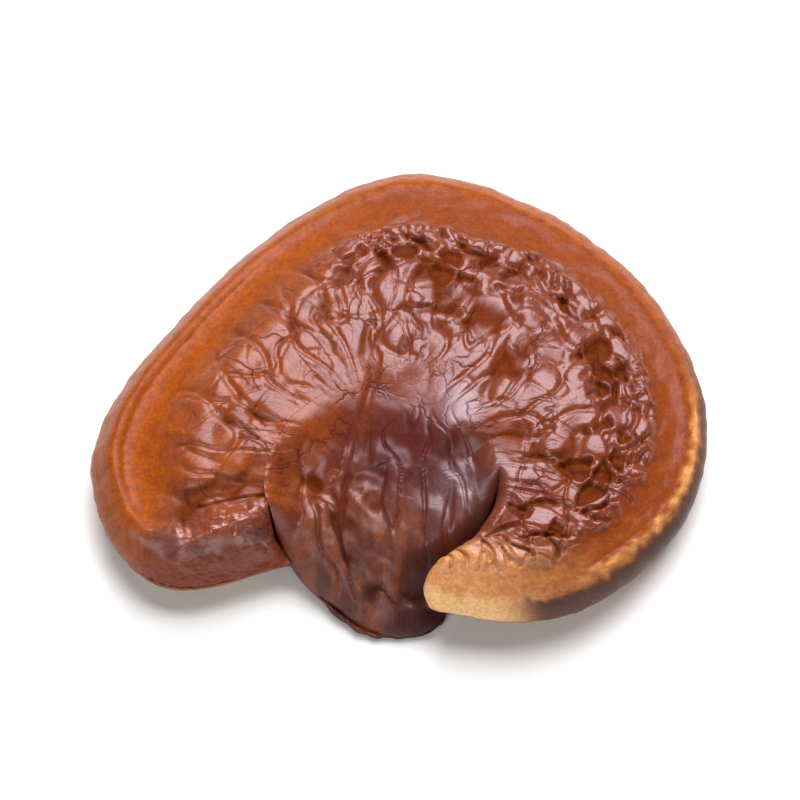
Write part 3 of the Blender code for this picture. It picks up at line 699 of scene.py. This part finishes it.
class NodeSheet:
    """A material's node tree, with short ways to add and link its nodes."""

    def __init__(self, name):
        self.material = bpy.data.materials.new(name)
        self.material.use_nodes = True
        self.tree = self.material.node_tree
        self.shader = self.tree.nodes["Principled BSDF"]
        coordinates = self.tree.nodes.new("ShaderNodeTexCoord")
        self.place = coordinates.outputs["Object"]

    def plug(self, value, socket):
        if isinstance(value, bpy.types.NodeSocket):
            self.tree.links.new(value, socket)
        else:
            socket.default_value = value

    def mask(self, name):
        node = self.tree.nodes.new("ShaderNodeAttribute")
        node.attribute_name = name
        return node.outputs["Fac"]

    def fan_place(self, folds, length_mm):
        """Places drawn out along the lines that run out from the growth centre."""
        fan = self.tree.nodes.new("ShaderNodeAttribute")
        fan.attribute_name = "fan"
        return self.scaled(fan.outputs["Vector"], (folds, folds, 100.0 / length_mm))

    def scaled(self, place, factors):
        node = self.tree.nodes.new("ShaderNodeVectorMath")
        node.operation = "MULTIPLY"
        self.plug(place, node.inputs[0])
        node.inputs[1].default_value = factors
        return node.outputs["Vector"]

    def crazing(self, place, width, stray):
        """1 in the narrow valleys between uneven flat cells, and 0 on the cells."""
        wander = self.tree.nodes.new("ShaderNodeTexNoise")
        self.plug(place, wander.inputs["Vector"])
        wander.inputs["Scale"].default_value = 1.3
        moved = self.tree.nodes.new("ShaderNodeVectorMath")
        moved.operation = "MULTIPLY_ADD"
        self.plug(wander.outputs["Color"], moved.inputs[0])
        moved.inputs[1].default_value = (stray, stray, stray)
        self.plug(place, moved.inputs[2])
        cells = self.tree.nodes.new("ShaderNodeTexVoronoi")
        cells.feature = "DISTANCE_TO_EDGE"
        cells.inputs["Scale"].default_value = 1.0
        self.plug(moved.outputs["Vector"], cells.inputs["Vector"])
        return self.spread(cells.outputs["Distance"], 0.0, width, 1.0, 0.0)

    def noise(self, place, detail):
        node = self.tree.nodes.new("ShaderNodeTexNoise")
        self.plug(place, node.inputs["Vector"])
        node.inputs["Scale"].default_value = 1.0
        node.inputs["Detail"].default_value = detail
        return node.outputs["Fac"]

    def grain(self, size_mm, detail=3.0, roughness=0.55, distortion=0.0):
        node = self.tree.nodes.new("ShaderNodeTexNoise")
        self.plug(self.place, node.inputs["Vector"])
        node.inputs["Scale"].default_value = 1.0 / (size_mm * MM)
        node.inputs["Detail"].default_value = detail
        node.inputs["Roughness"].default_value = roughness
        node.inputs["Distortion"].default_value = distortion
        return node.outputs["Fac"]

    def cells(self, size_mm):
        node = self.tree.nodes.new("ShaderNodeTexVoronoi")
        self.plug(self.place, node.inputs["Vector"])
        node.inputs["Scale"].default_value = 1.0 / (size_mm * MM)
        return node.outputs["Distance"]

    def math(self, operation, first, second=0.0, third=0.0):
        node = self.tree.nodes.new("ShaderNodeMath")
        node.operation = operation
        for value, socket in zip((first, second, third), node.inputs):
            self.plug(value, socket)
        return node.outputs["Value"]

    def times(self, first, second):
        return self.math("MULTIPLY", first, second)

    def plus(self, first, second):
        return self.math("ADD", first, second)

    def most(self, first, *others):
        for other in others:
            first = self.math("MAXIMUM", first, other)
        return first

    def spread(self, value, from_low, from_high, to_low=0.0, to_high=1.0):
        node = self.tree.nodes.new("ShaderNodeMapRange")
        node.interpolation_type = "SMOOTHSTEP"
        names = ("Value", "From Min", "From Max", "To Min", "To Max")
        for number, name in zip((value, from_low, from_high, to_low, to_high), names):
            self.plug(number, node.inputs[name])
        return node.outputs["Result"]

    def ramp(self, value, stops):
        node = self.tree.nodes.new("ShaderNodeValToRGB")
        self.plug(value, node.inputs["Fac"])
        elements = node.color_ramp.elements
        while len(elements) < len(stops):
            elements.new(0.5)
        for element, (position, colour) in zip(elements, stops):
            element.position = position
            element.color = (*colour[:3], 1.0)
        return node.outputs["Color"]

    def blend(self, share, first, second, kind="MIX"):
        node = self.tree.nodes.new("ShaderNodeMix")
        node.data_type = "RGBA"
        node.blend_type = kind
        for value, index in ((share, 0), (first, 6), (second, 7)):
            if not isinstance(value, bpy.types.NodeSocket) and index > 0:
                value = (*value[:3], 1.0)
            self.plug(value, node.inputs[index])
        return node.outputs[2]

    def bump(self, height, depth_mm, under=None):
        node = self.tree.nodes.new("ShaderNodeBump")
        node.inputs["Strength"].default_value = 1.0
        node.inputs["Distance"].default_value = depth_mm * MM
        self.plug(height, node.inputs["Height"])
        if under is not None:
            self.plug(under, node.inputs["Normal"])
        return node.outputs["Normal"]


class SkinFeatures:
    """What the skin's colour, gloss and bumps all read: grains, cracks, pits and streaks."""

    def __init__(self, sheet):
        mask = sheet.mask
        self.coarse = sheet.grain(4.5)
        self.mottle = sheet.grain(1.4, 4.0)
        self.speck = sheet.grain(0.45, 3.0)
        fading = sheet.spread(sheet.grain(5.0), 0.42, 0.62, 0.05, 1.0)
        radial = sheet.times(sheet.crazing(sheet.fan_place(7.5, 5.0), 0.085, 1.0), mask("cracked"))
        near_cells = sheet.crazing(sheet.scaled(sheet.place, (300.0, 300.0, 300.0)), 0.07, 1.0)
        near = sheet.times(near_cells, mask("near_neck"))
        self.cracks = sheet.times(sheet.plus(radial, near), fading)
        fine_cells = sheet.crazing(sheet.fan_place(20.0, 2.2), 0.07, 0.5)
        self.creases = sheet.times(fine_cells, mask("cracked"))
        self.banded = sheet.math("SUBTRACT", 1.0, mask("wrinkled"))
        # Painted shade: the low places of the relief are darkened where shade falls
        self.hollow = sheet.spread(mask("relief"), 0.26, 0.44, 1.0, 0.0)
        self.pits = sheet.most(sheet.times(self.hollow, mask("wrinkled")), mask("pits"))
        self.darkened = sheet.most(mask("neck_dark"), sheet.times(mask("sheen"), 0.7))
        self.streaks = sheet.noise(sheet.scaled(sheet.place, (560.0, 110.0, 200.0)), 4.0)


def lacquer_colour(sheet, skin, cap):
    """The cap's colour from the margin's band to the dark neck."""
    mask, spread = sheet.mask, sheet.spread
    band = sheet.plus(mask("band"), sheet.math("MULTIPLY_ADD", skin.mottle, 0.12, -0.06))
    colour = sheet.ramp(band, (
        (0.0, cap.edge_colour), (0.10, cap.band_colour), (0.40, cap.band_colour),
        (0.62, cap.skin_colour), (1.0, cap.skin_colour),
    ))
    right_band = sheet.math("SUBTRACT", spread(band, 0.14, 0.22, 0.0, 0.5), mask("left_side"))
    colour = sheet.blend(sheet.most(right_band, 0.0), colour, cap.patch_colour)
    warm = sheet.times(spread(band, 0.16, 0.24), spread(band, 0.30, 0.9, 0.9, 0.3))
    colour = sheet.blend(sheet.times(warm, mask("left_side")), colour, cap.glow_colour)
    # Old lacquer is patchy on the band and on the rises, and the hollows and pits are darkened with painted
    # shade
    patches = sheet.times(skin.banded, spread(skin.mottle, 0.42, 0.66, 0.0, 0.45))
    colour = sheet.blend(patches, colour, cap.patch_colour)
    patches = sheet.times(spread(skin.coarse, 0.40, 0.62, 0.0, 0.6), mask("wrinkled"))
    colour = sheet.blend(patches, colour, cap.patch_colour)
    # Painted shade in the hollows and pits
    colour = sheet.blend(skin.pits, colour, cap.hollow_painted_shade_colour)
    return sheet.blend(sheet.times(skin.darkened, 0.9), colour, cap.neck_colour)


def bark_colour(sheet, skin, stem):
    """The stem's colour: brown as lit on the left, purplish and darkened by painted shade on the right, with
    dark spots and painted shade in its grooves.
    """
    # Painted shade: the right side takes the darker, purplish copy of the bark
    colour = sheet.blend(sheet.mask("stem_right_painted_shade"), stem.bark_colour, stem.purple_painted_shade_colour)
    colour = sheet.blend(sheet.spread(skin.streaks, 0.38, 0.60, 0.75, 0.0), colour, stem.dark_bark_and_shade_colour)
    colour = sheet.blend(sheet.spread(skin.mottle, 0.40, 0.62, 0.25, 0.0), colour, stem.dark_bark_and_shade_colour)
    # Painted shade in the stem's grooves
    return sheet.blend(skin.hollow, colour, stem.dark_bark_and_shade_colour)


def growing_edge_colour(sheet, skin, cap, colour):
    """The sides over the skin: the left lobe's dark red side with painted shade, pale at the right lobe's
    tip, a crusty line, and painted shade on the side below it.
    """
    mask = sheet.mask
    young = sheet.times(mask("young_tip"), sheet.spread(skin.mottle, 0.3, 0.6, 1.0, 0.7))
    for share, over in (
        (mask("lobe_wall"), cap.lobe_red_and_shade_colour),
        (young, cap.young_colour),
        (mask("painted_shade_wall"), cap.wall_painted_shade_colour),
        (mask("crust_line"), cap.crust_colour),
        (mask("pale_tip"), cap.tip_colour),
    ):
        colour = sheet.blend(share, colour, over)
    return colour


def skin_roughness(sheet, skin):
    """How rough the lacquer is. Bark, pits, cracks and the dark neck are rougher."""
    rough_share = sheet.spread(sheet.mask("wrinkled"), 0.0, 1.0, 0.33, 0.29)
    for share in (
        sheet.times(sheet.mask("bark"), 0.14),
        sheet.math("MULTIPLY_ADD", skin.mottle, 0.16, -0.08),
        sheet.times(skin.cracks, 0.2),
        sheet.times(skin.darkened, 0.08),
        sheet.times(sheet.mask("sheen"), 0.14),
        sheet.times(sheet.mask("left_side"), 0.04),
        sheet.times(skin.pits, 0.35),
    ):
        rough_share = sheet.plus(rough_share, share)
    return rough_share


def skin_shine(sheet, skin):
    """How strongly the skin mirrors. Dust takes the shine off the bottoms of pits and cracks."""
    mask = sheet.mask
    dull = sheet.most(
        sheet.times(skin.pits, 1.2),
        skin.cracks,
        sheet.math("SUBTRACT", skin.banded, mask("lobe_front")),
        sheet.times(mask("left_side"), 0.25),
        sheet.times(mask("neck_dark"), 0.55),
        sheet.times(mask("bark"), 0.6),
        sheet.times(mask("dusty"), 1.25),
    )
    dull = sheet.times(dull, sheet.math("SUBTRACT", 1.0, mask("sheen")))
    shine = sheet.math("MULTIPLY_ADD", mask("sheen"), 1.0, 0.60)
    shine = sheet.math("MULTIPLY_ADD", mask("lobe_front"), 0.40, shine)
    return sheet.math("MULTIPLY_ADD", dull, -0.46, shine)


def skin_bumps(sheet, skin):
    """The finest relief: specks, bark streaks, puckers on the left lobe's front, and cracks."""
    mask = sheet.mask
    puckers = sheet.noise(sheet.scaled(sheet.place, (260.0, 420.0, 420.0)), 3.0)
    bumps = sheet.bump(skin.speck, 0.014)
    for height, depth_mm in (
        (skin.mottle, 0.034),
        (sheet.times(skin.streaks, mask("bark")), 0.25),
        (sheet.times(puckers, sheet.most(mask("lobe_front"), mask("lobe_wall"))), 0.8),
        (sheet.times(sheet.grain(0.9, 2.0), skin.banded), 0.05),
        (sheet.math("SUBTRACT", 1.0, skin.creases), 0.012),
        (sheet.math("SUBTRACT", 1.0, skin.cracks), 0.06),
    ):
        bumps = sheet.bump(height, depth_mm, bumps)
    return bumps


def skin_finish(name, cap, stem):
    """The finish of the outer skin, from lacquered crust to bark, as the masks say."""
    sheet = NodeSheet(name)
    skin = SkinFeatures(sheet)
    colour = sheet.blend(sheet.mask("bark"), lacquer_colour(sheet, skin, cap), bark_colour(sheet, skin, stem))
    # Painted shade in the narrow cracks and creases
    colour = sheet.blend(sheet.times(skin.cracks, 0.5), colour, cap.crack_painted_shade_colour)
    colour = sheet.blend(sheet.times(skin.creases, 0.15), colour, cap.crack_painted_shade_colour)
    colour = growing_edge_colour(sheet, skin, cap, colour)
    shade = sheet.spread(skin.speck, 0.25, 0.75, 0.80, 1.12)
    tint = sheet.tree.nodes.new("ShaderNodeCombineColor")
    for socket in tint.inputs:
        sheet.plug(shade, socket)
    colour = sheet.blend(1.0, colour, tint.outputs["Color"], "MULTIPLY")

    inputs = sheet.shader.inputs
    sheet.plug(colour, inputs["Base Color"])
    sheet.plug(skin_roughness(sheet, skin), inputs["Roughness"])
    # The socket's own value is the skin's usual shine, for where the masks can't be read
    inputs["Specular IOR Level"].default_value = 0.55
    sheet.plug(skin_shine(sheet, skin), inputs["Specular IOR Level"])
    inputs["Specular Tint"].default_value = (0.96, 0.87, 1.0, 1.0)
    sheet.plug(skin_bumps(sheet, skin), inputs["Normal"])
    return sheet.material


def pore_finish(name, cap, stem):
    """The matt pore side: tan, finely pricked, with faint growth bands."""
    sheet = NodeSheet(name)
    cloud, speck, pores = sheet.grain(5.0, 4.0), sheet.grain(0.8, 4.0), sheet.cells(0.42)
    band = sheet.plus(sheet.mask("band"), sheet.math("MULTIPLY_ADD", cloud, 0.3, -0.15))
    colour = sheet.ramp(band, (
        (0.0, cap.band_colour), (0.10, cap.edge_colour), (0.22, cap.pore_colour), (1.0, cap.pore_colour),
    ))
    colour = sheet.blend(sheet.spread(cloud, 0.45, 0.7, 0.0, 0.5), colour, cap.stain_colour)
    colour = sheet.blend(sheet.spread(pores, 0.0, 0.35, 0.55, 0.0), colour, cap.stain_colour)
    colour = sheet.blend(sheet.mask("foot_below"), colour, stem.dark_bark_and_shade_colour)
    sheet.plug(colour, sheet.shader.inputs["Base Color"])
    sheet.plug(sheet.spread(speck, 0.3, 0.7, 0.72, 0.9), sheet.shader.inputs["Roughness"])
    sheet.plug(sheet.bump(pores, 0.12, sheet.bump(speck, 0.15)), sheet.shader.inputs["Normal"])
    return sheet.material


def cut_finish(name, stem):
    """The dull sawn face at the stem's foot: fibrous and dark, with paler streaks."""
    sheet = NodeSheet(name)
    fibre, speck = sheet.grain(2.2, 5.0, 0.6, 1.5), sheet.grain(0.3, 3.0)
    colour = sheet.ramp(fibre, ((0.3, stem.dark_bark_and_shade_colour), (0.6, stem.cut_colour)))
    sheet.plug(colour, sheet.shader.inputs["Base Color"])
    sheet.plug(sheet.spread(speck, 0.3, 0.7, 0.8, 0.95), sheet.shader.inputs["Roughness"])
    sheet.plug(sheet.bump(speck, 0.12), sheet.shader.inputs["Normal"])
    return sheet.material


def floor_finish(name, colour):
    """Plain pale matt paper with a faint tooth."""
    sheet = NodeSheet(name)
    tooth = sheet.grain(1.5, 3.0)
    pale = tuple(channel * 0.985 for channel in colour[:3])
    sheet.plug(sheet.ramp(tooth, ((0.3, pale), (0.7, colour))), sheet.shader.inputs["Base Color"])
    sheet.plug(sheet.spread(tooth, 0.3, 0.7, 0.75, 0.85), sheet.shader.inputs["Roughness"])
    return sheet.material


def colour_setting(name, description, default):
    return bpy.props.FloatVectorProperty(
        name=name, description=description, default=default, subtype="COLOR", size=3, min=0.0, max=1.0,
    )


def length_setting(name, description, default_mm):
    return bpy.props.FloatProperty(
        name=name, description=description, default=default_mm * MM,
        unit="LENGTH", subtype="DISTANCE", precision=5,
    )


class CapSettings(bpy.types.PropertyGroup):
    wrinkle_depth: length_setting("Wrinkle depth", "Depth of the radial wrinkles of the skin", 0.8)
    lump_height: length_setting("Lump height", "Height of the lumps between the growth rings", 0.7)
    edge_colour: colour_setting("Edge", "Growing edge of the margin", (0.29, 0.080, 0.022))
    band_colour: colour_setting("Band", "Smooth band inside the margin", (0.31, 0.066, 0.005))
    glow_colour: colour_setting("Glow", "Orange skin of the left side", (0.33, 0.068, 0.006))
    skin_colour: colour_setting("Skin", "Wrinkled lacquered skin", (0.23, 0.048, 0.011))
    patch_colour: colour_setting("Patches", "Older, darker patches of the skin", (0.17, 0.030, 0.009))
    # Painted shade for the bottoms of the creases and pits
    hollow_painted_shade_colour: colour_setting("Hollows", "Bottoms of the creases", (0.13, 0.023, 0.003))
    # Painted shade in the narrow cracks between the wrinkles
    crack_painted_shade_colour: colour_setting("Cracks", "Narrow cracks between the wrinkles", (0.045, 0.009, 0.004))
    # Partly the lobe side's own dark red, partly painted shade where it faces down
    lobe_red_and_shade_colour: colour_setting("Lobe side", "Dark red side of the left lobe", (0.20, 0.040, 0.014))
    neck_colour: colour_setting("Neck", "Dark skin round the growth centre", (0.075, 0.014, 0.012))
    crust_colour: colour_setting("Crust", "Beaded crust along the right margin", (0.80, 0.36, 0.11))
    # Painted shade: the side under the crust is darkened as if in shadow
    wall_painted_shade_colour: colour_setting("Side", "Dark side under the crust on the right", (0.095, 0.032, 0.016))
    young_colour: colour_setting("Young skin", "Light skin near the right lobe's tip", (0.85, 0.38, 0.14))
    tip_colour: colour_setting("Tip", "Pale tip of the right lobe", (0.86, 0.50, 0.22))
    pore_colour: colour_setting("Pores", "Pore side", (0.43, 0.27, 0.14))
    stain_colour: colour_setting("Stains", "Stains and pore mouths", (0.22, 0.115, 0.055))


class StemSettings(bpy.types.PropertyGroup):
    wrinkle_depth: length_setting("Wrinkle depth", "Depth of the skin's wrinkles at the neck", 0.8)
    lump_height: length_setting("Lump height", "Height of the skin's lumps at the neck", 0.7)
    groove_depth: length_setting("Groove depth", "Depth of the grooves along the stem", 0.5)
    # Bark as lit on the left side; the right side takes its copy darkened by painted shade
    bark_colour: colour_setting("Bark", "Raised bark of the stem's left side", (0.19, 0.052, 0.022))
    # Painted shade: the right side's bark, purplish and darkened as if in shadow
    purple_painted_shade_colour: colour_setting("Shaded bark", "Purplish bark on the right side", (0.055, 0.013, 0.013))
    # Dark spots of the bark, also used as painted shade in the grooves
    dark_bark_and_shade_colour: colour_setting("Dark bark", "Grooves and spots of the bark", (0.055, 0.014, 0.009))
    cut_colour: colour_setting("Cut", "Fibres of the cut face", (0.27, 0.15, 0.075))


class StageSettings(bpy.types.PropertyGroup):
    elevation: bpy.props.FloatProperty(
        name="Camera elevation", description="Camera's angle above the horizon",
        default=math.radians(64.5), subtype="ANGLE", unit="ROTATION",
    )
    view_width: length_setting("View width", "Width of the view at the mushroom", 108.0)
    lens: bpy.props.FloatProperty(
        name="Lens", description="Focal length in millimetres",
        default=190.0, min=20.0, subtype="DISTANCE_CAMERA",
    )
    floor_colour: colour_setting("Floor", "Plain pale floor", (0.86, 0.86, 0.855))


class GrowCap(bpy.types.Operator):
    """Builds the cap with its wrinkled, lacquered skin and its pore side"""

    bl_idname = "reishi.grow_cap"
    bl_label = "Grow cap"

    def execute(self, context):
        cap, stem = context.scene.reishi_cap, context.scene.reishi_stem
        piece = build_cap(cap)
        piece.data.materials.append(skin_finish("reishi lacquered crust", cap, stem))
        piece.data.materials.append(pore_finish("reishi pore side", cap, stem))
        for face in faces_below(piece):
            face.material_index = 1
        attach(piece, "root")
        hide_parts("cap")
        return {"FINISHED"}


class GrowStem(bpy.types.Operator):
    """Builds the grooved stem with its bark and the level cut at its foot"""

    bl_idname = "reishi.grow_stem"
    bl_label = "Grow stem"

    def execute(self, context):
        cap, stem = context.scene.reishi_cap, context.scene.reishi_stem
        piece = build_stem(stem)
        piece.data.materials.append(skin_finish("reishi stem bark", cap, stem))
        piece.data.materials.append(pore_finish("reishi neck pore side", cap, stem))
        piece.data.materials.append(cut_finish("reishi cut face", stem))
        for face in faces_below(piece):
            if face.center.y > PORES_FROM * MM:
                face.material_index = 1
        for face in piece.data.polygons:
            if face.center.z < 1e-6:
                face.material_index = 2
        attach(piece, "root")
        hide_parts("stem")
        return {"FINISHED"}


def softbox(aim, name, toward, distance, size, power, colour):
    """Adds a rectangular studio light that faces the mushroom."""
    data = bpy.data.lights.new(name, "AREA")
    data.shape = "RECTANGLE"
    data.size, data.size_y = size
    data.energy = power
    data.color = colour
    light = bpy.data.objects.new(name, data)
    toward = Vector(toward).normalized()
    light.location = Vector(aim) + toward * distance
    light.rotation_euler = toward.to_track_quat("Z", "Y").to_euler()
    bpy.context.scene.collection.objects.link(light)


class SetStage(bpy.types.Operator):
    """Sets the plain floor, the soft studio light and the camera"""

    bl_idname = "reishi.set_stage"
    bl_label = "Set stage"

    def execute(self, context):
        settings = context.scene.reishi_stage
        middle = (Vector(CAD_LOW) + Vector(CAD_HIGH)) / 2

        data = bpy.data.meshes.new("floor")
        half = FLOOR_HALF_WIDTH
        corners = [(-half, -half, 0), (half, -half, 0), (half, half, 0), (-half, half, 0)]
        data.from_pydata(corners, [], [(0, 1, 2, 3)])
        floor = bpy.data.objects.new("floor", data)
        context.scene.collection.objects.link(floor)
        floor.data.materials.append(floor_finish("pale floor", settings.floor_colour))

        for light in SOFTBOXES:
            softbox(middle, *light)

        world = bpy.data.worlds.new("studio")
        world.use_nodes = True
        sky = world.node_tree.nodes["Background"].inputs
        sky["Color"].default_value = SKY_COLOUR
        sky["Strength"].default_value = SKY_STRENGTH
        context.scene.world = world
        context.scene.view_settings.view_transform = "Standard"

        camera_data = bpy.data.cameras.new("camera")
        camera_data.lens = settings.lens
        camera_data.clip_start, camera_data.clip_end = 0.05, 20.0
        camera = bpy.data.objects.new("camera", camera_data)
        toward = Vector((0.0, -math.cos(settings.elevation), math.sin(settings.elevation)))
        distance = settings.view_width * settings.lens / camera_data.sensor_width
        camera.location = middle + Vector(AIM_SHIFT) + toward * distance
        camera.rotation_euler = toward.to_track_quat("Z", "Y").to_euler()
        context.scene.collection.objects.link(camera)
        context.scene.camera = camera
        return {"FINISHED"}


class MushroomPanel(bpy.types.Panel):
    """Lists the mushroom's pieces and their settings"""

    bl_idname = "VIEW3D_PT_reishi"
    bl_label = "Reishi mushroom"
    bl_space_type = "VIEW_3D"
    bl_region_type = "UI"
    bl_category = "Mushroom"

    def draw(self, context):
        for settings, operator in (
            (context.scene.reishi_cap, GrowCap),
            (context.scene.reishi_stem, GrowStem),
            (context.scene.reishi_stage, SetStage),
        ):
            box = self.layout.box()
            for name in settings.bl_rna.properties.keys():
                if name not in {"rna_type", "name"}:
                    box.prop(settings, name)
            box.operator(operator.bl_idname)


CLASSES = (CapSettings, StemSettings, StageSettings, GrowCap, GrowStem, SetStage, MushroomPanel)


def register():
    for made in CLASSES:
        bpy.utils.register_class(made)
    bpy.types.Scene.reishi_cap = bpy.props.PointerProperty(type=CapSettings)
    bpy.types.Scene.reishi_stem = bpy.props.PointerProperty(type=StemSettings)
    bpy.types.Scene.reishi_stage = bpy.props.PointerProperty(type=StageSettings)


def unregister():
    del bpy.types.Scene.reishi_stage
    del bpy.types.Scene.reishi_stem
    del bpy.types.Scene.reishi_cap
    for made in reversed(CLASSES):
        bpy.utils.unregister_class(made)


def main():
    register()
    bpy.ops.reishi.grow_cap()
    bpy.ops.reishi.grow_stem()
    bpy.ops.reishi.set_stage()


if __name__ == "__main__":
    main()
